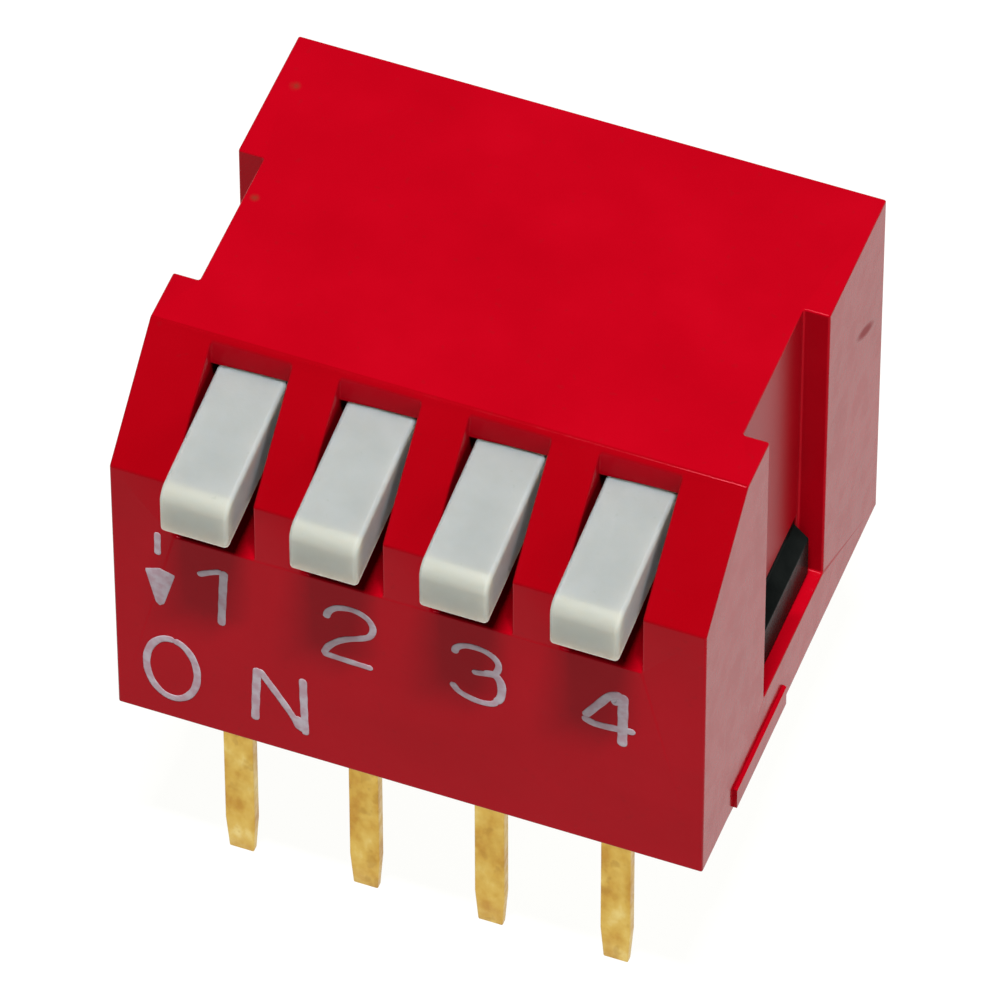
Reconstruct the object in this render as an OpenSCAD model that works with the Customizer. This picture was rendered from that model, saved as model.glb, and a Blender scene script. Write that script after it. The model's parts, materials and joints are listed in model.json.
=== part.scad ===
// Piano-type dip switch: a row of levers in a red cover that latches over a black base.
// Frame: X runs along the row, the levers point to -Y, Z is up.
// The origin is the middle of the pin pattern on the seating plane (the cover's lower rim).
// All sizes are in millimetres.

/* [Row] */
// Number of switches side by side
positions = 4; // [2:1:6]
// Distance from one switch to the next
pitch = 2.54; // [2.40:0.02:2.80]
// Distance between the front and the rear row of pins
row_spacing = 7.62; // [7.00:0.02:8.20]

/* [Cover] */
// Cover length beyond the outermost pitch, at each end
end_margin = 0.77; // [0.74:0.01:1.10]
// Cover depth beyond the rows of pins, front and back
row_margin = 1.01; // [0.90:0.01:1.30]
// Height of the cover above the seating plane
cover_h = 8.70; // [8.50:0.05:9.40]
// Height of the upright front face, where the slope starts
front_h = 6.80; // [6.50:0.05:7.20]
// Depth of the slope from the front face back to the top
slope_d = 2.15; // [1.95:0.05:2.40]
// Thickness of the two side walls
side_wall = 0.85; // [0.80:0.01:0.95]
// Thickness of the front wall
front_wall = 0.60; // [0.50:0.05:0.75]
// Thickness of the back wall
back_wall = 0.60; // [0.40:0.05:0.70]
// Thickness of the roof over the levers
roof = 0.65; // [0.50:0.05:0.80]

/* [Slots] */
// Width of a lever slot
slot_w = 1.60; // [1.50:0.02:1.70]
// Rim left on the slope above a slot
slot_lip = 0.10; // [0.04:0.02:0.20]
// Depth of the shelf under a lever, from the front face back
shelf_d = 2.40; // [1.60:0.05:2.60]
// Thickness of that shelf
shelf_t = 0.60; // [0.40:0.05:0.90]

/* [Latches] */
// Width of the upright groove in each side wall
groove_w = 3.24; // [3.12:0.02:3.60]
// Distance from the cover's middle to the middle of the latches, towards the back
latch_offset = 0.10; // [0.00:0.01:0.20]
// Depth of the groove
groove_d = 0.52; // [0.46:0.02:0.56]
// Height of the bar below the latch window
bar_h = 1.40; // [1.20:0.05:1.55]
// Height of the top of the latch window
window_top = 2.95; // [2.90:0.05:3.20]
// Width of the latch lugs
lug_w = 3.00; // [2.60:0.02:3.04]
// Gap between the top of a latch lug and the top of its window
lug_gap = 0.05; // [0.02:0.01:0.10]
// How far a latch nose stands out of the groove's floor
nose_reach = 0.27; // [0.18:0.01:0.36]
// Height of the upright land of the nose
nose_land = 1.00; // [0.60:0.02:1.04]
// Height of the nose's ramp, above the land
nose_ramp = 0.30; // [0.20:0.02:0.34]
// Gap between the nose and the bar that holds it
nose_gap = 0.05; // [0.02:0.01:0.10]
// Thickness of the pad at the foot of each side wall
pad_t = 0.07; // [0.04:0.01:0.12]
// Width of that pad
pad_w = 2.70; // [2.20:0.05:3.00]
// Height of that pad
pad_h = 0.50; // [0.20:0.02:0.60]
// Distance from the cover's middle to the middle of that pad, towards the front
pad_offset = 1.78; // [1.60:0.02:2.00]

/* [Levers] */
// Gap between a lever and each side of its slot
lever_gap = 0.125; // [0.080:0.005:0.160]
// How far a lever reaches out of the front face
lever_reach = 0.93; // [0.70:0.01:1.30]
// Thickness of the lever's finger bar
bar_t = 1.08; // [0.90:0.01:1.15]
// Downward slope of the finger bar in the off position
droop = 7; // [5:0.5:9]
// Turn of a lever from off to on
throw = 14; // [10:0.5:16]
// Radius of the finger bar's upper front edge
nose_r = 0.34; // [0.15:0.01:0.45]
// Radius of the hub round the pivot
hub_r = 0.95; // [0.80:0.01:1.00]
// Radius of the pivot stubs
stub_r = 0.40; // [0.30:0.01:0.45]
// Length of the pivot stub on each side
stub_l = 0.30; // [0.22:0.01:0.32]
// Radial play of the pivot stubs in the posts
stub_play = 0.03; // [0.02:0.01:0.05]
// Gap between a lever in the off position and the roof
off_gap = 0.05; // [0.02:0.01:0.10]
// Gap between a lever in the on position and its slot's floor
on_gap = 0.11; // [0.05:0.01:0.20]
// Depth of the lever's leg, front to back
leg_d = 1.30; // [1.20:0.02:1.50]

/* [Base] */
// Depth of the posts that carry the levers, front to back
post_d = 2.84; // [2.60:0.02:3.00]
// Height of the base's floor above the seating plane
floor_h = 1.95; // [1.80:0.05:2.10]
// Height of the base's underside above the seating plane
base_lift = 0.45; // [0.35:0.05:0.60]
// How far the sealing layer stays above the seating plane
seal_lift = 0.12; // [0.08:0.01:0.20]
// Gap between the base and the cover
fit_gap = 0.03; // [0.02:0.01:0.05]

/* [Contacts] */
// Thickness of the terminal strip
strip_t = 0.25; // [0.20:0.01:0.30]
// Width of a pin
pin_w = 0.60; // [0.54:0.01:0.64]
// Width of a pin at its tip
tip_w = 0.50; // [0.36:0.01:0.53]
// Thickness of a pin at its tip
tip_t = 0.16; // [0.10:0.01:0.19]
// Length of the tapered end of a pin
tip_l = 0.90; // [0.60:0.05:1.60]
// Length of the pins below the seating plane
pin_l = 4.60; // [2.80:0.10:5.00]
// Width of the terminal strip inside the base
strip_w = 0.90; // [0.70:0.02:1.10]
// Height of the strip's shoulder above the base's underside
shoulder_rise = 0.20; // [0.10:0.02:0.40]
// Inner radius of the strip's bend above the pin
bend_r = 0.10; // [0.06:0.01:0.16]
// Depth of the curved contact track below the base's floor
track_d = 0.30; // [0.24:0.01:0.36]
// How far the front strip runs past the middle, along the track
strip_past = 0.06; // [0.04:0.01:0.12]
// Insulating gap between the front and the rear strip
strip_gap = 0.36; // [0.28:0.01:0.40]
// Running gap between the bridge contact and the track
track_gap = 0.02; // [0.01:0.01:0.04]
// Thickness of the bridge contact
bridge_t = 0.20; // [0.15:0.01:0.25]
// Length of the bridge contact along the track
bridge_l = 1.70; // [1.60:0.02:1.76]
// Width of the bridge contact
bridge_w = 0.90; // [0.80:0.02:1.10]
// Height of the two coined ribs on the bridge contact
rib_h = 0.06; // [0.03:0.01:0.09]
// Distance between the two coined ribs along the track
rib_span = 1.40; // [1.36:0.02:1.44]
// Radius of the stem that centres the spring
stem_r = 0.20; // [0.14:0.01:0.22]
// Length of that stem
stem_l = 0.55; // [0.35:0.05:0.80]
// Gap between the lever's leg and the bridge contact
leg_gap = 0.15; // [0.08:0.01:0.25]
// Radius of the spring pocket in the leg
pocket_r = 0.42; // [0.40:0.01:0.46]
// Depth of the spring pocket
pocket_d = 2.20; // [1.80:0.05:2.60]
// Wire diameter of the contact spring
wire_d = 0.12; // [0.08:0.01:0.14]
// Gap between the contact spring and its pocket
spring_play = 0.05; // [0.03:0.01:0.08]
// Turns of the contact spring
spring_turns = 7; // [5:1:9]

/* [Hidden] */
$fn = 64;
over = 1;                       // how far a cutting body runs past a face
touch = 0.004;                  // play between the spring's ends and what they press on

cover_l = positions * pitch + 2 * end_margin;
cover_d = row_spacing + 2 * row_margin;
front_y = -cover_d / 2;         // the front face
slope_y = front_y + slope_d;    // the slope's upper edge
slot_y = slope_y - slot_lip;    // the wall at the back of a slot
inner_x = cover_l / 2 - side_wall;
inner_front = front_y + front_wall;
inner_back = cover_d / 2 - back_wall;
groove_x = cover_l / 2 - groove_d;
roof_z = cover_h - roof;        // underside of the roof

lever_w = slot_w - 2 * lever_gap;
pivot_z = roof_z - off_gap - hub_r;
bar_top = roof_z - off_gap;
lever_end = front_y - lever_reach;
bar_drop = bar_t / cos(droop);  // the finger bar's height, measured upright
end_top = bar_top - (slot_y - lever_end) * tan(droop);
end_bottom = end_top - bar_drop;

post_w = pitch - slot_w;
post_top = pivot_z + stub_r + stub_play;
lug_top = window_top - lug_gap;
nose_x = groove_x + nose_reach;

track_r = pivot_z - floor_h + track_d;  // the contact track, centred on the pivot
bridge_r = track_r - track_gap;         // the bridge contact's ribs
bridge_top = bridge_r - rib_h - bridge_t;
leg_l = bridge_top - leg_gap;
pin_y = row_spacing / 2;
strip_end = asin(strip_past / track_r);
strip_start = asin((strip_past + strip_gap) / track_r);
track_half = sqrt(track_r * track_r - (pivot_z - floor_h) * (pivot_z - floor_h));

// Height of the finger bar's underside over the front face, with the lever on
on_end_y = lever_end * cos(throw) - (end_bottom - pivot_z) * sin(throw);
on_end_z = pivot_z + lever_end * sin(throw) + (end_bottom - pivot_z) * cos(throw);
slot_floor = on_end_z + (front_y - on_end_y) * tan(droop + throw) - on_gap;

cover_red = [0.78, 0.02, 0.07];
base_black = [0.06, 0.07, 0.07];
seal_amber = [0.16, 0.13, 0.11];
lever_white = [0.84, 0.86, 0.82];
contact_gold = [0.86, 0.68, 0.28];
spring_steel = [0.72, 0.72, 0.70];

function place_x(i) = (i - (positions + 1) / 2) * pitch;
function numbered(word) = [for (i = [1:positions]) str(word, i)];

// A box from its lowest to its highest corner
module box(low, high) {
    translate(low) cube(high - low);
}

// Carries an outline drawn in Y and Z along X, centred on X = 0
module along_x(width) {
    translate([-width / 2, 0, 0])
        rotate([90, 0, 90])
            linear_extrude(width) children();
}

// Carries an outline drawn in X and Z along Y, centred on Y = 0
module along_y(depth) {
    translate([0, depth / 2, 0])
        rotate([90, 0, 0])
            linear_extrude(depth) children();
}

// The same at both ends of the row
module both_ends() {
    children();
    mirror([1, 0, 0]) children();
}

// A slice of the ring round the pivot, from one angle to another; 0 points straight down
module ring_slice(outer, inner, from, to) {
    reach = 2 * outer;
    translate([0, pivot_z])
        intersection() {
            difference() {
                circle(outer);
                circle(inner);
            }
            polygon([
                [0, 0],
                [reach * sin(from), -reach * cos(from)],
                [reach * sin((from + to) / 2), -reach * cos((from + to) / 2)],
                [reach * sin(to), -reach * cos(to)]
            ]);
        }
}

// ---- Cover -------------------------------------------------------------

module cover_block() {
    along_x(cover_l)
        polygon([
            [front_y, 0],
            [cover_d / 2, 0],
            [cover_d / 2, cover_h],
            [slope_y, cover_h],
            [front_y, front_h]
        ]);
}

// One lever's slot over its shelf, and the bay that lies behind and under the shelf
module slot_and_bay() {
    box([-slot_w / 2, front_y - over, slot_floor], [slot_w / 2, slot_y, cover_h + over]);
    difference() {
        box([-slot_w / 2, inner_front, floor_h], [slot_w / 2, inner_back, roof_z]);
        box([-slot_w, front_y, slot_floor - shelf_t], [slot_w, front_y + shelf_d, slot_floor]);
    }
}

// The groove in a side wall, its latch window and the channel for the lug
module side_groove() {
    window_half = lug_w / 2 + fit_gap;
    translate([0, latch_offset, 0]) {
        box([groove_x, -groove_w / 2, bar_h], [cover_l / 2 + over, groove_w / 2, cover_h + over]);
        box([inner_x - over, -window_half, -over], [groove_x, window_half, window_top]);
        box([groove_x - over, -window_half, bar_h], [groove_x + over, window_half, window_top]);
    }
}

// The pad at the foot of a side wall, with a chamfer along its top
module foot_pad() {
    top = pad_h + pad_t / 2;
    translate([cover_l / 2, -pad_offset, 0])
        along_y(pad_w)
            polygon([
                [-side_wall / 2, 0],
                [pad_t, 0],
                [pad_t, pad_h],
                [0, top],
                [-side_wall / 2, top]
            ]);
}

module cover() {
    post_half = post_d / 2 + fit_gap;
    color(cover_red)
        union() {
            difference() {
                cover_block();
                box([-inner_x, inner_front, -over], [inner_x, inner_back, floor_h + fit_gap]);
                box([-inner_x, -post_half, floor_h], [inner_x, post_half, post_top + fit_gap]);
                box([-inner_x, 0, floor_h], [inner_x, inner_back, post_top + fit_gap]);
                for (i = [1:positions])
                    translate([place_x(i), 0, 0]) slot_and_bay();
                both_ends() side_groove();
            }
            both_ends() foot_pad();
        }
}

// ---- Base --------------------------------------------------------------

// The latch nose, which is an upright land with a ramp above it
module latch_nose() {
    low = bar_h + nose_gap;
    root = groove_x - fit_gap;
    along_y(lug_w)
        polygon([
            [root - side_wall / 4, low],
            [nose_x, low],
            [nose_x, low + nose_land],
            [root, low + nose_land + nose_ramp],
            [root, lug_top],
            [root - side_wall / 4, lug_top]
        ]);
}

// The post at an end of the row, with the latch lug that stands in the cover's window
module end_post() {
    box([place_x(positions) + slot_w / 2, -post_d / 2, base_lift],
        [inner_x - fit_gap, post_d / 2, post_top]);
    translate([0, latch_offset, 0]) {
        box([inner_x - side_wall / 4, -lug_w / 2, base_lift], [groove_x - fit_gap, lug_w / 2, lug_top]);
        latch_nose();
    }
}

module inner_post() {
    box([-post_w / 2, -post_d / 2, base_lift], [post_w / 2, post_d / 2, post_top]);
}

// The open-topped bearing for the pivot stubs, along the whole row
module stub_bearing() {
    r = stub_r + stub_play;
    translate([-cover_l / 2, 0, pivot_z])
        rotate([0, 90, 0])
            cylinder(r = r, h = cover_l);
    box([-cover_l / 2, -r, pivot_z], [cover_l / 2, r, post_top + over]);
}

// The curved track that the bridge contact sweeps
module contact_track() {
    translate([-slot_w / 2, 0, pivot_z])
        rotate([0, 90, 0])
            cylinder(r = track_r, h = slot_w);
}

module base() {
    color(base_black)
        difference() {
            union() {
                difference() {
                    box([-inner_x + fit_gap, inner_front + fit_gap, base_lift],
                        [inner_x - fit_gap, inner_back - fit_gap, floor_h]);
                    for (i = [1:positions])
                        translate([place_x(i), 0, 0]) contact_track();
                }
                both_ends() end_post();
                for (i = [1:positions - 1])
                    translate([place_x(i) + pitch / 2, 0, 0]) inner_post();
            }
            stub_bearing();
            for (i = [1:positions])
                translate([place_x(i), 0, 0]) {
                    front_strip();
                    rear_strip();
                }
        }
}

// Resin poured between the pins to seal the underside
module bottom_seal() {
    color(seal_amber)
        difference() {
            box([-inner_x, inner_front, seal_lift], [inner_x, inner_back, base_lift]);
            for (i = [1:positions])
                translate([place_x(i), 0, 0]) {
                    front_strip();
                    rear_strip();
                }
        }
}

// ---- Levers ------------------------------------------------------------

// Side view of the finger bar, with its rounded upper front edge
module finger_outline() {
    round_y = lever_end + nose_r;
    round_z = end_top + nose_r * tan(droop) - nose_r / cos(droop);
    tail_y = -0.9 * hub_r;
    tail_z = bar_top - bar_drop + (tail_y - slot_y) * tan(droop);
    polygon([
        [lever_end, end_bottom],
        [lever_end, round_z],
        [round_y - nose_r * sin(droop), round_z + nose_r * cos(droop)],
        [slot_y, bar_top],
        [0, bar_top],
        [0, pivot_z],
        [tail_y, tail_z]
    ]);
    translate([round_y, round_z]) circle(nose_r);
}

module lever() {
    color(lever_white)
        difference() {
            union() {
                along_x(lever_w) {
                    finger_outline();
                    translate([0, pivot_z]) circle(hub_r);
                }
                lean()
                    box([-lever_w / 2, -leg_d / 2, -leg_l], [lever_w / 2, leg_d / 2, 0]);
                translate([-lever_w / 2 - stub_l, 0, pivot_z])
                    rotate([0, 90, 0])
                        cylinder(r = stub_r, h = lever_w + 2 * stub_l);
            }
            lean()
                translate([0, 0, -leg_l - over])
                    cylinder(r = pocket_r, h = pocket_d + over);
        }
}

// Places what hangs from the pivot, leaning forward by half the throw
module lean() {
    translate([0, 0, pivot_z])
        rotate([-throw / 2, 0, 0]) children();
}

// ---- Contacts ----------------------------------------------------------

// Curved bridge with two coined ribs below and a stem for the spring above
module bridge_contact() {
    half_turn = asin(bridge_l / 2 / bridge_r);
    rib_turn = asin(rib_span / 2 / bridge_r);
    color(contact_gold)
        translate([0, 0, pivot_z])
            rotate([-throw / 2, 0, 0])
                translate([0, 0, -pivot_z]) {
                    along_x(bridge_w) {
                        ring_slice(bridge_r - rib_h, bridge_top, -half_turn, half_turn);
                        for (side = [-1, 1])
                            translate([0, pivot_z])
                                rotate(side * rib_turn)
                                    translate([0, -bridge_r + 2 * rib_h])
                                        circle(2 * rib_h);
                    }
                    translate([0, 0, pivot_z - bridge_top - bridge_t / 2])
                        cylinder(r = stem_r, h = stem_l + bridge_t / 2);
                }
}

// Coil spring: rings of eight points follow a helix from the bridge to the pocket's end
module contact_spring() {
    coil_r = pocket_r - spring_play - wire_d / 2;
    height = leg_gap + pocket_d - wire_d - 2 * touch;
    low = -bridge_top + wire_d / 2 + touch;
    rings_per_turn = 16;
    steps = spring_turns * rings_per_turn;
    sides = 8;
    rings = [
        for (k = [0:steps], s = [0:sides - 1])
            let (
                turn = 360 * spring_turns * k / steps,
                round = 360 * s / sides,
                r = coil_r + wire_d / 2 * cos(round)
            )
            [r * cos(turn), r * sin(turn), low + height * k / steps + wire_d / 2 * sin(round)]
    ];
    skin = [
        for (k = [0:steps - 1], s = [0:sides - 1])
            let (next = (s + 1) % sides)
            [k * sides + s, k * sides + next, (k + 1) * sides + next, (k + 1) * sides + s]
    ];
    first = [for (s = [sides - 1:-1:0]) s];
    last = [for (s = [0:sides - 1]) steps * sides + s];
    color(spring_steel)
        lean() polyhedron(rings, concat([first], skin, [last]));
}

// Side view of a terminal: pin, bend, level strip and curved track up to an angle past the middle
module strip_outline(track_end) {
    outer_y = -pin_y - strip_t / 2;
    turn_r = bend_r + strip_t;
    above = pivot_z - floor_h;
    below = above + 2 * (track_d + strip_t);
    polygon([
        [-pin_y - tip_t / 2, -pin_l],
        [-pin_y + tip_t / 2, -pin_l],
        [-pin_y + strip_t / 2, -pin_l + tip_l],
        [-pin_y + strip_t / 2, floor_h - turn_r],
        [outer_y, floor_h - turn_r],
        [outer_y, -pin_l + tip_l]
    ]);
    intersection() {
        translate([outer_y + turn_r, floor_h - turn_r])
            difference() {
                circle(turn_r);
                circle(bend_r);
            }
        translate([outer_y, floor_h - turn_r]) square(turn_r);
    }
    difference() {
        union() {
            translate([outer_y + turn_r, floor_h - strip_t])
                square([-track_half / 2 - outer_y - turn_r, strip_t]);
            intersection() {
                translate([0, pivot_z]) circle(track_r + strip_t);
                polygon([
                    [outer_y + turn_r, floor_h],
                    [outer_y + turn_r, pivot_z - below],
                    [below * tan(track_end), pivot_z - below],
                    [above * tan(track_end), floor_h]
                ]);
            }
        }
        translate([0, pivot_z]) circle(track_r);
    }
}

module terminal(track_end) {
    intersection() {
        along_x(strip_w) strip_outline(track_end);
        pin_front_view();
    }
}

module front_strip() {
    terminal(strip_end);
}

module rear_strip() {
    rotate([0, 0, 180]) terminal(-strip_start);
}

// Front view of a terminal: the tapered pin and the wider strip inside the base
module pin_front_view() {
    shoulder = base_lift + shoulder_rise;
    along_y(2 * cover_d)
        polygon([
            [-tip_w / 2, -pin_l],
            [tip_w / 2, -pin_l],
            [pin_w / 2, -pin_l + tip_l],
            [pin_w / 2, shoulder],
            [strip_w / 2, shoulder],
            [strip_w / 2, floor_h + over],
            [-strip_w / 2, floor_h + over],
            [-strip_w / 2, shoulder],
            [-pin_w / 2, shoulder],
            [-pin_w / 2, -pin_l + tip_l]
        ]);
}

// ---- Assembly ----------------------------------------------------------

cover();
base();
bottom_seal();
for (i = [1:positions]) {
    x = place_x(i);
    translate([x, 0, 0]) lever();
    translate([x, 0, 0]) contact_spring();
    translate([x, 0, 0]) bridge_contact();
    translate([x, 0, 0]) color(contact_gold) front_strip();
    translate([x, 0, 0]) color(contact_gold) rear_strip();
}
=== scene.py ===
import json
import math
from itertools import combinations

import bmesh
import bpy
import numpy as np
from mathutils import Matrix, Vector


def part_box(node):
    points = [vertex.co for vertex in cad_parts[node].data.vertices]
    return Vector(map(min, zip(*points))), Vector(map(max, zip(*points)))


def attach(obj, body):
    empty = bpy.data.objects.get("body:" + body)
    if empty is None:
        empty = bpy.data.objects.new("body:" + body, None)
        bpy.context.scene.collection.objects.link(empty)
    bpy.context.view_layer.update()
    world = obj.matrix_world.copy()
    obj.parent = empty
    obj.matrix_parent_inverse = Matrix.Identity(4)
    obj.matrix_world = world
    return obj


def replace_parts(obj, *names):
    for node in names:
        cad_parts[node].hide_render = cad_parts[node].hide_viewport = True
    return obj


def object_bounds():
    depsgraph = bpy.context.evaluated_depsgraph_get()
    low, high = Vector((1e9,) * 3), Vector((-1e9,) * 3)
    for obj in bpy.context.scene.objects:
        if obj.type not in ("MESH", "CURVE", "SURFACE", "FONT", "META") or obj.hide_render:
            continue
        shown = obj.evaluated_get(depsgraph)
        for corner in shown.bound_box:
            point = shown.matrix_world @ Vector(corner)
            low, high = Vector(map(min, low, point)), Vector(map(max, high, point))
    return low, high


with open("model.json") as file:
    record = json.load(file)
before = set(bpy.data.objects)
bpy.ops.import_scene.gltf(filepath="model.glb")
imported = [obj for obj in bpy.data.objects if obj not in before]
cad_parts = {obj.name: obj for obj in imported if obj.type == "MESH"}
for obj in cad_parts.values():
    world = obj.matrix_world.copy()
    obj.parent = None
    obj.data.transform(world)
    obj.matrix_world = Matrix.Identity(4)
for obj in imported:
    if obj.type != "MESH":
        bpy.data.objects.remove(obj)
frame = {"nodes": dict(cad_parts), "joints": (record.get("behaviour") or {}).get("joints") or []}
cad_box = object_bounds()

# A four-way piano-type dip switch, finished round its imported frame.
# Everything is in metres: X along the row, levers towards -Y, Z up.

MM = 0.001
LEVERS = [joint["child"].replace("_unit", "") for joint in frame["joints"]]
COVER_LOW, COVER_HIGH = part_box("cover")
FRONT_Y = COVER_LOW.y
PAD_T = 0.07 * MM                   # how far a foot pad stands out of the side wall
SIDE_X = COVER_HIGH.x - PAD_T       # the right-hand side wall
PIN_TIP_Z = cad_box[0].z
SLOPE_DEPTH = 2.15 * MM             # from the front face back to the top
SLOPE_DROP = 1.90 * MM              # from the top down to the front face
GROOVE_DEPTH = 0.52 * MM            # from a side wall in to its groove's floor
GROOVE_Y = 0.10 * MM                # the middle of a groove
GROOVE_HALF = 1.62 * MM             # half its width
LEVER_REACH = 0.93 * MM             # from the front face out to a lever's end
# Scuffs on the cover's top: the place and the reach of each, measured from its rear left corner
SCUFFS = [
    ((COVER_LOW.x + 0.48 * MM, COVER_HIGH.y - 1.23 * MM, COVER_HIGH.z), 0.16 * MM),
    ((COVER_LOW.x + 0.80 * MM, COVER_HIGH.y - 4.10 * MM, COVER_HIGH.z), 0.13 * MM),
]
# A rub mark on the right-hand side wall: its two ends and its width
RUB = (
    (SIDE_X, FRONT_Y + 8.24 * MM, 6.30 * MM),
    (SIDE_X, FRONT_Y + 9.02 * MM, 5.86 * MM),
    0.46 * MM,
)


# ---- Meshes ------------------------------------------------------------------


def piece_from(name, points, faces, finish, body="housing"):
    """A finished piece from an array of points and lists of corner numbers.

    Its object sits at the origin, its faces are smooth and it rides on the body named.
    """
    mesh = bpy.data.meshes.new(name)
    mesh.from_pydata(np.asarray(points, float).tolist(), [], [list(face) for face in faces])
    mesh.shade_smooth()
    mesh.materials.append(finish)
    piece = bpy.data.objects.new(name, mesh)
    bpy.context.scene.collection.objects.link(piece)
    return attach(piece, body)


def tube_faces(rings, sides):
    """Quads between neighbouring rings of points, with one many-sided face over each end.

    Quad (i, j) joins point j and j + 1 of ring i with the same two of ring i + 1.
    """
    ring, side = np.meshgrid(np.arange(rings - 1), np.arange(sides), indexing="ij")
    here, after = ring * sides, (ring + 1) * sides
    step = (side + 1) % sides
    quads = np.stack([here + side, here + step, after + step, after + side], axis=-1)
    first = list(range(sides - 1, -1, -1))
    last = list(range((rings - 1) * sides, rings * sides))
    return quads.reshape(-1, 4).tolist() + [first, last]


# ---- Finishes ----------------------------------------------------------------

FACE_REACH = 0.03 * MM              # how near a face's plane counts as on it


class Finish:
    """A material with one Principled shader, and short ways to add patterns to it."""

    def __init__(self, name, **constants):
        self.material = bpy.data.materials.new(name)
        self.material.use_nodes = True
        self.tree = self.material.node_tree
        self.shader = self.tree.nodes["Principled BSDF"]
        for socket, value in constants.items():
            self.shader.inputs[socket.replace("_", " ")].default_value = value
        self.place = self.tree.nodes.new("ShaderNodeTexCoord").outputs["Object"]

    def join(self, start, end):
        self.tree.links.new(start, end)

    def grain(self, size, detail=2.0, stretch=(1, 1, 1), seed=0.0):
        """Soft noise whose blotches are about size metres across, drawn out by stretch."""
        spread = self.tree.nodes.new("ShaderNodeMapping")
        spread.inputs["Location"].default_value = (seed, seed * 0.7, seed * 1.3)
        spread.inputs["Scale"].default_value = [1 / (size * s) for s in stretch]
        self.join(self.place, spread.inputs["Vector"])
        noise = self.tree.nodes.new("ShaderNodeTexNoise")
        noise.inputs["Scale"].default_value = 1.0
        noise.inputs["Detail"].default_value = detail
        self.join(spread.outputs["Vector"], noise.inputs["Vector"])
        return noise.outputs["Fac"]

    def ramp(self, value, *stops):
        """Colours at places from 0 to 1 along value."""
        ramp = self.tree.nodes.new("ShaderNodeValToRGB")
        elements = ramp.color_ramp.elements
        while len(elements) < len(stops):
            elements.new(0.5)
        for element, (place, colour) in zip(elements, stops):
            element.position = place
            element.color = (*colour, 1)
        self.join(value, ramp.inputs["Fac"])
        return ramp.outputs["Color"]

    def fade(self, value, low, high, start=0.0, end=1.0):
        """Goes from start to end as value goes from low to high, and stays there."""
        fade = self.tree.nodes.new("ShaderNodeMapRange")
        fade.interpolation_type = "SMOOTHSTEP"
        numbers = {"From Min": low, "From Max": high, "To Min": start, "To Max": end}
        for socket, number in numbers.items():
            fade.inputs[socket].default_value = number
        self.join(value, fade.inputs["Value"])
        return fade.outputs["Result"]

    def mix(self, share, first, second):
        """Colour first where share is 0 and second where it is 1."""
        mix = self.tree.nodes.new("ShaderNodeMix")
        mix.data_type = "RGBA"
        self.join(share, mix.inputs["Factor"])
        for socket, colour in ((mix.inputs[6], first), (mix.inputs[7], second)):
            if isinstance(colour, tuple):
                socket.default_value = (*colour, 1)
            else:
                self.join(colour, socket)
        return mix.outputs[2]

    def calculate(self, how, first, second):
        """The result of one step of arithmetic, called how in Blender, on two values."""
        math_node = self.tree.nodes.new("ShaderNodeMath")
        math_node.operation = how
        for socket, value in zip(math_node.inputs, (first, second)):
            if isinstance(value, (int, float)):
                socket.default_value = value
            else:
                self.join(value, socket)
        return math_node.outputs["Value"]

    def near(self, spot, reach):
        """1 at a spot on the piece, fading to 0 at the distance reach from it."""
        away = self.tree.nodes.new("ShaderNodeVectorMath")
        away.operation = "DISTANCE"
        away.inputs[1].default_value = spot
        self.join(self.place, away.inputs[0])
        return self.fade(away.outputs["Value"], 0.0, reach, 1.0, 0.0)

    def on_plane(self, spot, normal, reach, core=0.5):
        """1 near the plane through a spot, as far out as core times reach, fading to 0 at reach."""
        unit = Vector(normal).normalized()
        along = self.tree.nodes.new("ShaderNodeVectorMath")
        along.operation = "DOT_PRODUCT"
        along.inputs[1].default_value = unit
        self.join(self.place, along.inputs[0])
        past = self.calculate("SUBTRACT", along.outputs["Value"], unit.dot(spot))
        away = self.calculate("ABSOLUTE", past, 0)
        return self.fade(away, reach * core, reach, 1.0, 0.0)

    def rub(self, start, end, width):
        """1 in the middle of a slim oval mark along the line from start to end, and 0 at its rim."""
        start, end = Vector(start), Vector(end)
        turned = self.tree.nodes.new("ShaderNodeMapping")
        turned.vector_type = "TEXTURE"
        turned.inputs["Location"].default_value = (start + end) / 2
        turned.inputs["Rotation"].default_value = (end - start).to_track_quat("X", "Z").to_euler()
        turned.inputs["Scale"].default_value = ((end - start).length / 2 + width, width / 2, width / 2)
        self.join(self.place, turned.inputs["Vector"])
        away = self.tree.nodes.new("ShaderNodeVectorMath")
        away.operation = "LENGTH"
        self.join(turned.outputs["Vector"], away.inputs[0])
        return self.fade(away.outputs["Value"], 0.2, 1.0, 1.0, 0.0)

    def relief(self, *layers):
        """Bump layers (value, height in metres), the first one lowest."""
        normal = None
        for value, height in layers:
            bump = self.tree.nodes.new("ShaderNodeBump")
            bump.inputs["Strength"].default_value = 1.0
            bump.inputs["Distance"].default_value = height
            self.join(value, bump.inputs["Height"])
            if normal is not None:
                self.join(normal, bump.inputs["Normal"])
            normal = bump.outputs["Normal"]
        self.join(normal, self.shader.inputs["Normal"])

    def colour(self, value):
        self.join(value, self.shader.inputs["Base Color"])

    def roughness(self, value):
        self.join(value, self.shader.inputs["Roughness"])


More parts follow.
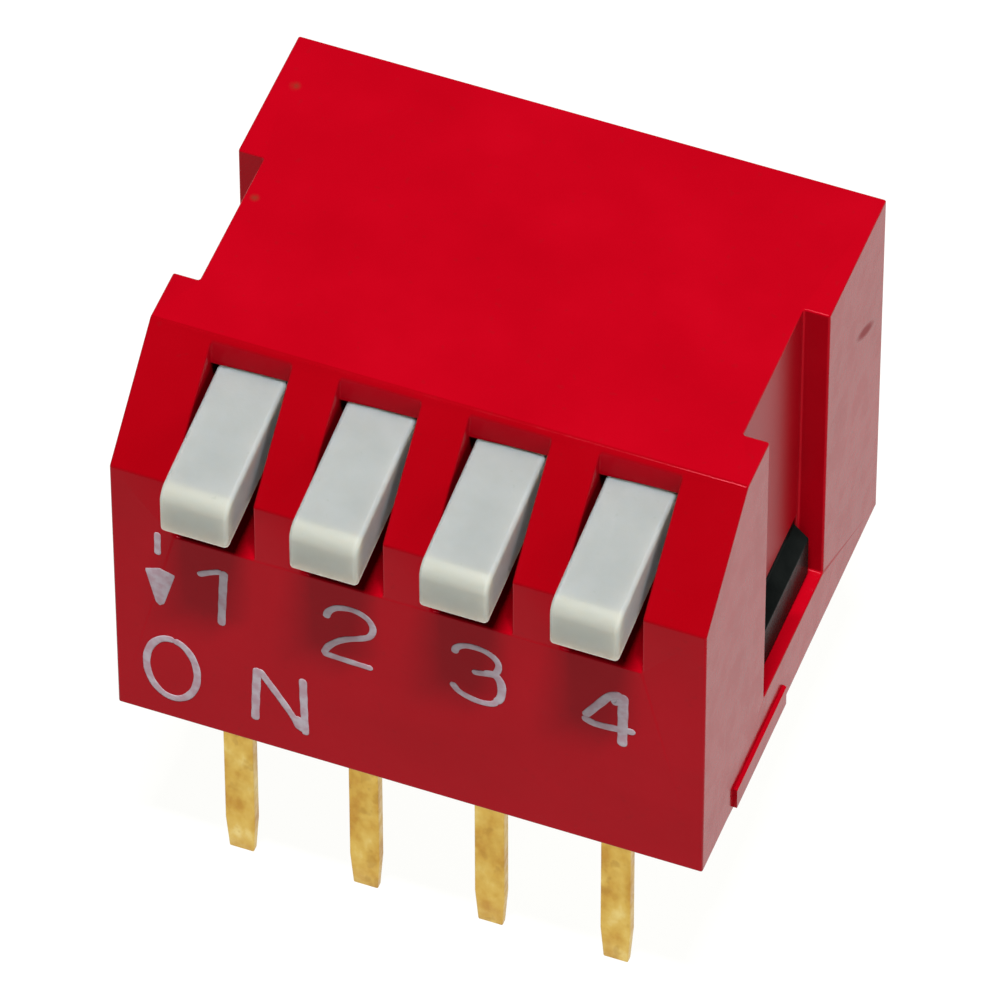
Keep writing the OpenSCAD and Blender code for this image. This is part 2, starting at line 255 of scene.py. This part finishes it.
def red_moulding():
    """Glass-filled polyester: deep red with faint flow blotches, fine grain and a few scuffs.

    Its sheen is red, and paler at a glance. The slope carries painted shade, a deeper red than the
    other faces, and the floor of the right-hand groove is less polished.
    """
    finish = Finish("red_moulding", IOR=1.16)
    finish.shader.inputs["Specular Tint"].default_value = (1.0, 0.22, 0.30, 1)
    blotch = finish.grain(2.1 * MM, detail=4.0, seed=3.0)
    body = finish.ramp(
        blotch,
        (0.30, (0.226, 0.0003, 0.0038)),
        (0.52, (0.240, 0.0004, 0.0043)),
        (0.72, (0.254, 0.0006, 0.0050)),
    )
    # painted shade: the slope is mixed halfway to a deeper red, standing in for the lesser light it
    # gets
    slope = finish.on_plane(
        (0, FRONT_Y + SLOPE_DEPTH, COVER_HIGH.z), (0, -SLOPE_DROP, SLOPE_DEPTH), FACE_REACH
    )
    body = finish.mix(finish.calculate("MULTIPLY", slope, 0.5), body, (0.140, 0.0002, 0.0010))
    speck = finish.fade(finish.grain(0.16 * MM, detail=1.0, seed=8.0), 0.68, 0.76)
    dirt = finish.calculate("MULTIPLY", speck, 0.12)
    body = finish.mix(dirt, body, (0.12, 0.005, 0.006))
    for spot, reach in SCUFFS:
        scuff = finish.near(spot, reach)
        patchy = finish.fade(finish.grain(0.14 * MM, seed=2.0), 0.35, 0.6, 0.3, 0.9)
        smear = finish.calculate("MULTIPLY", scuff, patchy)
        body = finish.mix(finish.calculate("MULTIPLY", smear, 0.75), body, (0.10, 0.020, 0.010))
    rubbed = finish.rub(*RUB)
    body = finish.mix(finish.calculate("MULTIPLY", rubbed, 0.35), body, (0.09, 0.0004, 0.003))
    finish.colour(body)
    skin = finish.fade(finish.grain(0.5 * MM, detail=3.0, seed=5.0), 0.35, 0.65, 0.12, 0.21)
    groove_floor = finish.calculate(
        "MULTIPLY",
        finish.on_plane((SIDE_X - GROOVE_DEPTH, 0, 0), (1, 0, 0), FACE_REACH),
        finish.on_plane((0, GROOVE_Y, 0), (0, 1, 0), GROOVE_HALF + 0.02 * MM, core=0.985),
    )
    unpolished = finish.calculate("MULTIPLY", groove_floor, 0.30)
    worn = finish.calculate("MULTIPLY", rubbed, 0.45)
    dull = finish.calculate("MAXIMUM", unpolished, worn)
    finish.roughness(finish.calculate("MAXIMUM", skin, dull))
    finish.relief(
        (finish.grain(1.3 * MM, detail=1.0, seed=1.0), 0.003 * MM),
        (finish.grain(0.075 * MM, detail=2.0, seed=6.0), 0.0012 * MM),
    )
    return finish.material


def white_nylon():
    """Unfilled nylon: a slightly translucent cool white with faint flow clouds and specks.

    Its front end is painted a little lighter and warmer: painted light for the face that looks forward.
    """
    finish = Finish("white_nylon", IOR=1.32)
    finish.shader.inputs["Subsurface Weight"].default_value = 1.0
    finish.shader.inputs["Subsurface Radius"].default_value = (1.0, 0.78, 0.62)
    finish.shader.inputs["Subsurface Scale"].default_value = 1.10 * MM
    cloud = finish.grain(0.9 * MM, detail=3.0, seed=4.0)
    body = finish.ramp(cloud, (0.32, (0.210, 0.223, 0.216)), (0.68, (0.231, 0.244, 0.238)))
    # painted light: the lever's front end is mixed towards a lighter, warmer white, standing in for the
    # light its front face catches
    painted_light_front_end = finish.on_plane((0, FRONT_Y - LEVER_REACH, 0), (0, 1, 0), 0.40 * MM)
    body = finish.mix(painted_light_front_end, body, (0.250, 0.260, 0.232))
    speck = finish.fade(finish.grain(0.13 * MM, detail=1.0, seed=9.0), 0.73, 0.80)
    finish.colour(finish.mix(finish.calculate("MULTIPLY", speck, 0.20), body, (0.16, 0.165, 0.145)))
    finish.roughness(finish.fade(finish.grain(0.5 * MM, seed=7.0), 0.3, 0.7, 0.56, 0.68))
    finish.relief(
        (finish.grain(0.7 * MM, detail=1.0, seed=2.0), 0.006 * MM),
        (finish.grain(0.06 * MM, detail=2.0, seed=5.0), 0.0012 * MM),
    )
    return finish.material


def black_moulding():
    """Glass-filled polyester, near black, with a dull grain."""
    finish = Finish("black_moulding", IOR=1.07)
    cloud = finish.grain(0.8 * MM, detail=3.0, seed=1.0)
    body = finish.ramp(cloud, (0.35, (0.0024, 0.0032, 0.0030)), (0.70, (0.0050, 0.0060, 0.0056)))
    finish.colour(body)
    finish.roughness(finish.fade(finish.grain(0.25 * MM, detail=2.0, seed=3.0), 0.3, 0.7, 0.20, 0.30))
    finish.relief((finish.grain(0.09 * MM, detail=2.0, seed=4.0), 0.004 * MM))
    return finish.material


def gold_plate():
    """Thin gold over stamped copper alloy: yellow, with orange stains, pale streaks and drawn lines."""
    finish = Finish("gold_plate", Metallic=1.0)
    blotch = finish.grain(0.42 * MM, detail=3.0, stretch=(1, 1, 1.8), seed=6.0)
    body = finish.ramp(
        blotch,
        (0.33, (0.480, 0.255, 0.038)),
        (0.46, (0.560, 0.345, 0.062)),
        (0.60, (0.620, 0.420, 0.095)),
        (0.74, (0.720, 0.560, 0.200)),
    )
    stain = finish.fade(finish.grain(0.30 * MM, detail=2.0, stretch=(1, 1, 1.4), seed=11.0), 0.60, 0.70)
    body = finish.mix(finish.calculate("MULTIPLY", stain, 0.35), body, (0.36, 0.19, 0.028))
    finish.colour(body)
    finish.roughness(finish.fade(finish.grain(0.2 * MM, detail=2.0, seed=2.0), 0.3, 0.7, 0.30, 0.48))
    finish.relief(
        (finish.grain(0.05 * MM, detail=1.0, stretch=(1, 1, 12), seed=3.0), 0.0030 * MM),
        (finish.grain(0.22 * MM, detail=2.0, seed=5.0), 0.010 * MM),
    )
    return finish.material


def spring_wire():
    """Drawn stainless wire with fine lines."""
    finish = Finish("spring_wire", Metallic=1.0)
    cloud = finish.grain(0.10 * MM, detail=2.0, seed=2.0)
    finish.colour(finish.ramp(cloud, (0.35, (0.46, 0.46, 0.45)), (0.70, (0.62, 0.62, 0.60))))
    finish.roughness(finish.fade(finish.grain(0.03 * MM, seed=4.0), 0.3, 0.7, 0.22, 0.36))
    return finish.material


def sealing_resin():
    """Poured epoxy: dark amber, smooth, with a faint ripple and a few trapped specks."""
    finish = Finish("sealing_resin", IOR=1.50)
    cloud = finish.grain(1.6 * MM, detail=3.0, seed=5.0)
    body = finish.ramp(cloud, (0.34, (0.020, 0.012, 0.007)), (0.68, (0.052, 0.033, 0.019)))
    bubble = finish.fade(finish.grain(0.18 * MM, detail=0.0, seed=7.0), 0.72, 0.78)
    finish.colour(finish.mix(finish.calculate("MULTIPLY", bubble, 0.5), body, (0.16, 0.12, 0.08)))
    finish.roughness(finish.fade(finish.grain(0.8 * MM, seed=2.0), 0.3, 0.7, 0.14, 0.26))
    finish.relief((finish.grain(1.1 * MM, detail=1.0, seed=3.0), 0.030 * MM))
    return finish.material


def pad_ink():
    """Pad-printed ink: a lilac white that lets a little of the red through where it is thin."""
    finish = Finish("pad_ink", IOR=1.40)
    thin = finish.fade(finish.grain(0.22 * MM, detail=3.0, seed=3.0), 0.34, 0.66)
    finish.colour(finish.mix(thin, (0.250, 0.160, 0.190), (0.290, 0.245, 0.275)))
    finish.roughness(finish.fade(finish.grain(0.1 * MM, seed=6.0), 0.3, 0.7, 0.42, 0.58))
    finish.relief((finish.grain(0.05 * MM, detail=2.0, seed=4.0), 0.0015 * MM))
    return finish.material


def light_table():
    """The pale floor: thin white paper over a glowing panel."""
    finish = Finish("light_table", Roughness=0.95, IOR=1.2)
    cloud = finish.grain(30 * MM, detail=2.0)
    finish.colour(finish.ramp(cloud, (0.3, (0.048, 0.048, 0.048)), (0.7, (0.052, 0.052, 0.052))))
    finish.shader.inputs["Emission Color"].default_value = (1.0, 1.0, 0.975, 1)
    finish.shader.inputs["Emission Strength"].default_value = 0.975
    return finish.material


RED = red_moulding()
WHITE = white_nylon()
BLACK = black_moulding()
GOLD = gold_plate()
STEEL = spring_wire()
RESIN = sealing_resin()
INK = pad_ink()


# ---- The moulded and stamped pieces, with softened edges -----------------------

WELD = 0.0001 * MM                  # points closer than this are one point
FLAT = math.radians(0.5)            # faces that meet flatter than this are one face
CORNER = math.radians(35)           # edges sharper than this are softened
CREASE = math.radians(50)           # edges still sharper than this break the shading
WEAK = -16384                       # Blender's mark for a face that gives way in shading


def round_corners(form, strength, edge, steps, where, crowded):
    """Replaces each corner edge of a form by a quarter-round, and marks its strips weak."""
    corners = [
        e for e in form.edges
        if e.calc_face_angle(0.0) > CORNER and where((e.verts[0].co + e.verts[1].co) / 2)
    ]
    rounded = bmesh.ops.bevel(
        form, geom=corners, offset=edge, offset_type="OFFSET", segments=steps, profile=0.5,
        affect="EDGES", clamp_overlap=crowded, miter_outer="ARC",
    )
    for strip in rounded["faces"]:
        strip[strength] = WEAK


def break_shading(form, strength):
    """Breaks the shading at every crease, and at a point where unlike flat faces touch."""
    for point in form.verts:
        flat = [face.normal for face in point.link_faces if face[strength] != WEAK]
        point.tag = any(first.angle(second, 0.0) > CORNER for first, second in combinations(flat, 2))
    for e in form.edges:
        e.smooth = e.calc_face_angle(0.0) < CREASE and not any(point.tag for point in e.verts)
    for face in form.faces:
        face.smooth = True


def everywhere(middle):
    """Rounds every corner edge, wherever its middle is."""
    return True


def softened(
    node, name, finish, edge, steps=3, body="housing", where=everywhere, crowded=True
):
    """Stands for a CAD node: its merged copy, with corner edges rounded to the radius edge.

    Loose triangles are welded and flat ones joined. Then each edge that turns by more than
    CORNER, and whose middle where accepts, is rounded in some steps. The radius shrinks beside
    a short edge where the form is crowded. A flat face outweighs the weak round strips, so that
    it keeps its own even shading right up to them.
    """
    form = bmesh.new()
    form.from_mesh(frame["nodes"][node].data)
    strength = form.faces.layers.int.new("__mod_weightednormals_faceweight")
    bmesh.ops.remove_doubles(form, verts=form.verts, dist=WELD)
    bmesh.ops.dissolve_limit(form, angle_limit=FLAT, verts=form.verts, edges=form.edges)
    round_corners(form, strength, edge, steps, where, crowded)
    bmesh.ops.triangulate(form, faces=[f for f in form.faces if len(f.verts) > 4])
    form.normal_update()
    break_shading(form, strength)
    mesh = bpy.data.meshes.new(name)
    form.to_mesh(mesh)
    form.free()
    mesh.materials.append(finish)
    piece = bpy.data.objects.new(name, mesh)
    bpy.context.scene.collection.objects.link(piece)
    even = piece.modifiers.new("even_shading", "WEIGHTED_NORMAL")
    even.keep_sharp = True
    even.use_face_influence = True
    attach(piece, body)
    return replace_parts(piece, node)


PROUD = [v.co.copy() for v in frame["nodes"]["cover"].data.vertices if v.co.x > COVER_HIGH.x - WELD]
PAD_LOW_Y, PAD_HIGH_Y = min(v.y for v in PROUD), max(v.y for v in PROUD)
PAD_TOP = max(v.z for v in PROUD)
CAVITY_X = SIDE_X - 0.75 * MM       # a little beyond the ends of the cavity
SLOT_BACK_Y = FRONT_Y + 2.15 * MM   # a little behind the slots' back walls
SHELF_UNDER_Z = 4.90 * MM           # a little above the undersides of the shelves


def softens(middle):
    """Whether an edge of the cover with that middle is rounded.

    The thin edges of the two foot pads stay sharp, and so do the edges that can't be seen: those
    in the cavity behind the slots and under the shelves, and the inner outline of the lower rim.
    """
    over_wall = abs(middle.x) > SIDE_X - WELD
    along_pad = PAD_LOW_Y - WELD < middle.y < PAD_HIGH_Y + WELD
    on_pad = over_wall and along_pad and middle.z < PAD_TOP + PAD_T
    between_faces = FRONT_Y + WELD < middle.y < COVER_HIGH.y - WELD
    in_rim = middle.z < WELD and between_faces and not over_wall
    behind = middle.y > SLOT_BACK_Y and middle.z < COVER_HIGH.z - WELD
    under = middle.y > FRONT_Y + WELD and middle.z < SHELF_UNDER_Z
    in_cavity = abs(middle.x) < CAVITY_X and between_faces and (behind or under)
    return not (on_pad or in_rim or in_cavity)


softened("cover", "cover_moulding", RED, edge=0.045 * MM, where=softens)
softened("base", "base_moulding", BLACK, edge=0.035 * MM)
softened("bottom_seal", "bottom_seal_pour", RESIN, edge=0.02 * MM, steps=2)
for lever in LEVERS:
    unit = lever + "_unit"
    bridge = lever.replace("lever", "bridge_contact")
    softened(
        lever, lever + "_moulding", WHITE,
        edge=0.09 * MM, steps=5, body=unit, crowded=False,
    )
    softened(
        bridge, bridge + "_stamping", GOLD, edge=0.02 * MM, steps=2, body=unit
    )
    for row in ("front", "rear"):
        terminal = lever.replace("lever", row + "_terminal")
        softened(terminal, terminal + "_stamping", GOLD, edge=0.03 * MM)


# ---- The contact springs -------------------------------------------------------

WIRE = 0.12 * MM                    # thickness of the wire
TURNS = 7
STEPS_PER_TURN = 32
WIRE_SIDES = 12


def contact_spring(lever, joint):
    """The coil in one lever's leg, in place of its plain solid and as wide and high as it.

    With u from 0 to 1 along the wire and v round it, the wire's middle is R cos and R sin of the
    angle 2 pi TURNS u, at a height that grows with u, and the wire's own circle of v is added.
    The axis leans half a throw at the pivot, as the lever's leg does.
    """
    node = lever.replace("lever", "contact_spring")
    pivot = Vector(joint["pos_m"])
    lean = Matrix.Rotation(-math.radians(sum(joint["range_deg"]) / 2), 3, "X")
    corners = [v.co - pivot for v in frame["nodes"][node].data.vertices]
    solid = np.array([(lean.inverted() @ corner)[:] for corner in corners])
    low, high = solid[:, 2].min() + WIRE / 2, solid[:, 2].max() - WIRE / 2
    coil = np.hypot(solid[:, 0], solid[:, 1]).max() - WIRE / 2
    rings = STEPS_PER_TURN * TURNS + 1
    along = np.linspace(0, 1, rings)
    about = np.linspace(0, 2 * np.pi, WIRE_SIDES, endpoint=False)
    u, v = np.meshgrid(along, about, indexing="ij")
    turn = 2 * np.pi * TURNS * u
    out = coil + WIRE / 2 * np.cos(v)
    height = low + (high - low) * u + WIRE / 2 * np.sin(v)
    points = np.stack([out * np.cos(turn), out * np.sin(turn), height], axis=-1)
    placed = points.reshape(-1, 3) @ np.array(lean).T + np.array(pivot)
    faces = tube_faces(rings, WIRE_SIDES)
    spring = piece_from(node + "_coil", placed, faces, STEEL, lever + "_unit")
    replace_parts(spring, node)


for lever, joint in zip(LEVERS, frame["joints"]):
    contact_spring(lever, joint)


# ---- The print on the front face -----------------------------------------------

INK_LINE = 0.145 * MM               # width of a drawn line
INK_HEIGHT = 0.012 * MM             # how far the ink stands on the face
INK_SEAT = 0.004 * MM               # how far it reaches into the face
INK_STEP = 0.04 * MM                # distance between rings along a drawn line
INK_SWELL = 0.07                    # by which share a line's width comes and goes


def smooth_path(points, steps=10):
    """Catmull-Rom curve through points: each stretch leaves along the line past its neighbours."""
    p = np.asarray(points, float)
    p = np.vstack([2 * p[0] - p[1], p, 2 * p[-1] - p[-2]])
    a, b, c, d = (p[k:len(p) - 3 + k, None, :] for k in range(4))
    t = np.linspace(0, 1, steps, endpoint=False)[None, :, None]
    curve = b + 0.5 * t * (c - a + t * (2 * a - 5 * b + 4 * c - d + t * (3 * (b - c) + d - a)))
    return np.vstack([curve.reshape(-1, 2), p[-2]])


def ink_line(path, width):
    """Points and faces of one drawn line, a flat-topped bead of ink with round ends.

    Across the line, at the angle v from edge to edge, it is half a width times cos v out from
    the middle and stands up by the root of sin v. Towards an end the width shrinks as a circle,
    and along the line it swells and thins a little, as the product of two slow waves.
    """
    reach = np.concatenate([[0], np.cumsum(np.hypot(*np.diff(path, axis=0).T))])
    length = reach[-1]
    cap = np.linspace(0.12, np.pi / 2, 6)
    start = width / 2 * (1 - np.cos(cap))
    rings = max(3, int(length / INK_STEP))
    middle = np.linspace(width / 2, length - width / 2, rings)[1:-1]
    along = np.concatenate([start, middle, length - start[::-1]])
    swell = 1 + INK_SWELL * np.sin(along / (0.11 * MM)) * np.sin(along / (0.17 * MM) + 1)
    roundness = np.concatenate([np.sin(cap), np.ones(len(middle)), np.sin(cap[::-1])])
    half = width / 2 * swell * roundness
    spot = np.stack([np.interp(along, reach, path[:, k]) for k in range(2)], axis=-1)
    heading = np.gradient(spot, axis=0)
    heading /= np.hypot(*heading.T)[:, None]
    across = np.stack([heading[:, 1], -heading[:, 0]], axis=-1)
    v = np.linspace(0, np.pi, 9)
    flat = spot[:, None, :] + across[:, None, :] * half[:, None, None] * np.cos(v)[None, :, None]
    top = INK_HEIGHT * np.sqrt(np.sin(v).clip(0, 1)) * np.minimum(1, half / (width / 2))[:, None]
    on_edge = np.sin(v) < 0.01
    depth = np.where(on_edge, FRONT_Y + INK_SEAT, FRONT_Y - top)
    points = np.stack([flat[..., 0], depth, flat[..., 1]], axis=-1)
    return points.reshape(-1, 3), tube_faces(len(along), len(v))


def printed(name, *lines):
    """One printed sign from its lines.

    Each is a list of (x, z) points in millimetres on the face, after a share of INK_LINE.
    """
    points, faces, count = [], [], 0
    for share, line in lines:
        more, skin = ink_line(smooth_path(np.array(line) * MM), INK_LINE * share)
        points.append(more)
        faces += [[corner + count for corner in face] for face in skin]
        count += len(more)
    return piece_from(name, np.vstack(points), faces, INK)


def oval(middle, across, up, first, last, steps):
    """Points round an ellipse, from one angle in degrees to another."""
    angle = np.radians(np.linspace(first, last, steps))
    return [(middle[0] + across * np.cos(a), middle[1] + up * np.sin(a)) for a in angle]


def arrow_head(name):
    """The solid head of the arrow: a blunt triangle whose upper side rises to a low peak.

    Its corners are clipped. The outline shrinks towards the middle by a growing share, and rises
    as the root of that share until it is level.
    """
    corners = np.array(
        [(-5.21, 4.17), (-4.92, 4.29), (-4.60, 4.19), (-4.84, 3.28), (-4.93, 3.20), (-5.01, 3.28)]
    )
    after = np.roll(corners, -1, axis=0)
    t = np.linspace(0.05, 0.95, 7)[None, :, None]
    rim = (corners[:, None, :] * (1 - t) + after[:, None, :] * t).reshape(-1, 2) * MM
    middle = rim.mean(axis=0)
    level = 0.14
    share = np.array([0.0, 0.02, 0.06, level, 0.5, 0.97])[:, None, None]
    flat = rim[None] + (middle - rim)[None] * share
    rise = INK_HEIGHT * np.sqrt(np.minimum(1, share[..., 0] / level))
    depth = np.where(share[..., 0] > 0, FRONT_Y - rise, FRONT_Y + INK_SEAT) + np.zeros(len(rim))
    points = np.stack([flat[..., 0], depth, flat[..., 1]], axis=-1).reshape(-1, 3)
    return piece_from(name, points, tube_faces(len(share), len(rim)), INK)


printed(
    "print_one",
    (0.95, [(-4.15, 4.42), (-3.92, 4.57), (-3.66, 4.70)]),
    (1.15, [(-3.62, 4.73), (-3.66, 4.00), (-3.70, 3.14)]),
)
printed(
    "print_two",
    (1.0, [(-1.60, 4.25), (-1.55, 4.45), (-1.37, 4.63), (-1.06, 4.69), (-0.79, 4.57), (-0.67, 4.33),
           (-0.73, 4.08), (-0.91, 3.94), (-1.26, 3.76), (-1.54, 3.48), (-1.67, 3.19)]),
    (1.0, [(-1.69, 3.21), (-1.20, 3.18), (-0.68, 3.16)]),
)
printed(
    "print_three",
    (1.0, [(0.94, 4.31), (0.98, 4.49), (1.17, 4.62), (1.47, 4.63), (1.71, 4.51), (1.81, 4.31),
           (1.75, 4.07), (1.58, 3.98), (1.28, 3.92)]),
    (1.2, [(1.50, 3.98), (1.74, 4.00), (1.86, 3.78), (1.85, 3.42), (1.74, 3.21)]),
    (1.0, [(1.78, 3.26), (1.66, 3.15), (1.39, 3.12), (1.05, 3.23), (0.87, 3.45)]),
)
printed(
    "print_four",
    (1.45, [(4.25, 4.52), (4.25, 3.80), (4.24, 3.02)]),
    (1.25, [(4.24, 4.49), (4.00, 4.38), (3.76, 4.02), (3.49, 3.59)]),
    (1.2, [(3.45, 3.56), (3.70, 3.46), (4.10, 3.48), (4.50, 3.53)]),
    (1.5, [(4.02, 4.30), (4.20, 4.22)]),
)
printed("print_o", (1.1, oval((-4.73, 1.45), 0.51, 0.85, 80, 445, 20)))
printed(
    "print_n",
    (1.2, [(-3.00, 2.20), (-3.04, 1.45), (-3.07, 0.66)]),
    (1.1, [(-2.98, 2.18), (-2.50, 1.42), (-2.10, 0.72)]),
    (1.1, [(-2.09, 2.27), (-2.08, 1.50), (-2.06, 0.64)]),
    (1.7, [(-2.24, 1.12), (-2.13, 0.74)]),
)
printed("print_arrow_shaft", (0.9, [(-4.93, 5.30), (-4.935, 5.0), (-4.94, 4.66)]))
arrow_head("print_arrow_head")


# ---- Stage, lights and camera --------------------------------------------------

VIEW_AZIMUTH = math.radians(20.874)
VIEW_ELEVATION = math.radians(49.52)
VIEW_ROLL = math.radians(-0.13)
VIEW_DISTANCE = 217.21 * MM
VIEW_TARGET = Vector((2.429, -6.357, 10.952)) * MM
SENSOR = 36.0                       # in the camera's own millimetres, as the lens is
VIEW_LENS = 437.04


def direction(azimuth, elevation):
    """Unit vector towards a place at that azimuth (0 is -Y, 90 is +X) and elevation."""
    flat = math.cos(elevation)
    return Vector((math.sin(azimuth) * flat, -math.cos(azimuth) * flat, math.sin(elevation)))


def camera():
    """The view: looks at VIEW_TARGET from its azimuth and elevation, with a long lens."""
    back = direction(VIEW_AZIMUTH, VIEW_ELEVATION)
    right = (-back).cross(Vector((0, 0, 1))).normalized()
    turn = Matrix((right, back.cross(right), back)).transposed() @ Matrix.Rotation(VIEW_ROLL, 3, "Z")
    data = bpy.data.cameras.new("view")
    data.sensor_width = SENSOR
    data.lens = VIEW_LENS
    data.clip_start = 10 * MM
    data.clip_end = 5.0
    view = bpy.data.objects.new("view", data)
    view.matrix_world = Matrix.Translation(VIEW_TARGET + back * VIEW_DISTANCE) @ turn.to_4x4()
    bpy.context.scene.collection.objects.link(view)
    bpy.context.scene.camera = view


def floor():
    """A wide disc at the pin tips whose rim curves up.

    It is level as far out as flat. From there to the rim its height is rise times the square of
    the share of the way gone.
    """
    flat, rim, rise = 0.9, 1.8, 0.5
    radii = np.concatenate([np.linspace(0.02, flat, 8), np.linspace(flat, rim, 13)[1:]])
    angles = np.linspace(0, 2 * np.pi, 64, endpoint=False)
    r, a = np.meshgrid(radii, angles, indexing="ij")
    past = np.clip((r - flat) / (rim - flat), 0, 1)
    points = np.stack([r * np.cos(a), r * np.sin(a), PIN_TIP_Z + rise * past ** 2], axis=-1)
    all_but_the_lid = tube_faces(len(radii), len(angles))[:-1]
    facing_up = [face[::-1] for face in all_but_the_lid]
    mesh = bpy.data.meshes.new("floor")
    mesh.from_pydata(points.reshape(-1, 3).tolist(), [], facing_up)
    mesh.shade_smooth()
    mesh.materials.append(light_table())
    obj = bpy.data.objects.new("floor", mesh)
    bpy.context.scene.collection.objects.link(obj)


def softbox(name, azimuth, elevation, distance, width, depth, watts):
    """A rectangular soft light that faces the switch from a direction, its width level."""
    data = bpy.data.lights.new(name, "AREA")
    data.shape = "RECTANGLE"
    data.size = width
    data.size_y = depth
    data.energy = watts
    box = bpy.data.objects.new(name, data)
    towards = direction(math.radians(azimuth), math.radians(elevation))
    box.location = towards * distance
    box.rotation_mode = "QUATERNION"
    box.rotation_quaternion = towards.to_track_quat("Z", "Y")
    bpy.context.scene.collection.objects.link(box)


def surroundings():
    """An even, dim room."""
    world = bpy.data.worlds.new("room")
    world.use_nodes = True
    background = world.node_tree.nodes["Background"]
    background.inputs["Color"].default_value = (1.0, 1.0, 1.0, 1)
    background.inputs["Strength"].default_value = 0.02
    bpy.context.scene.world = world


floor()
softbox(
    "overhead_strip", azimuth=17, elevation=74.5, distance=0.5, width=0.12, depth=0.012, watts=5.75
)
softbox("side_fill", azimuth=82, elevation=35, distance=0.5, width=0.20, depth=0.20, watts=0.78)
surroundings()
camera()
bpy.context.scene.view_settings.view_transform = "Standard"
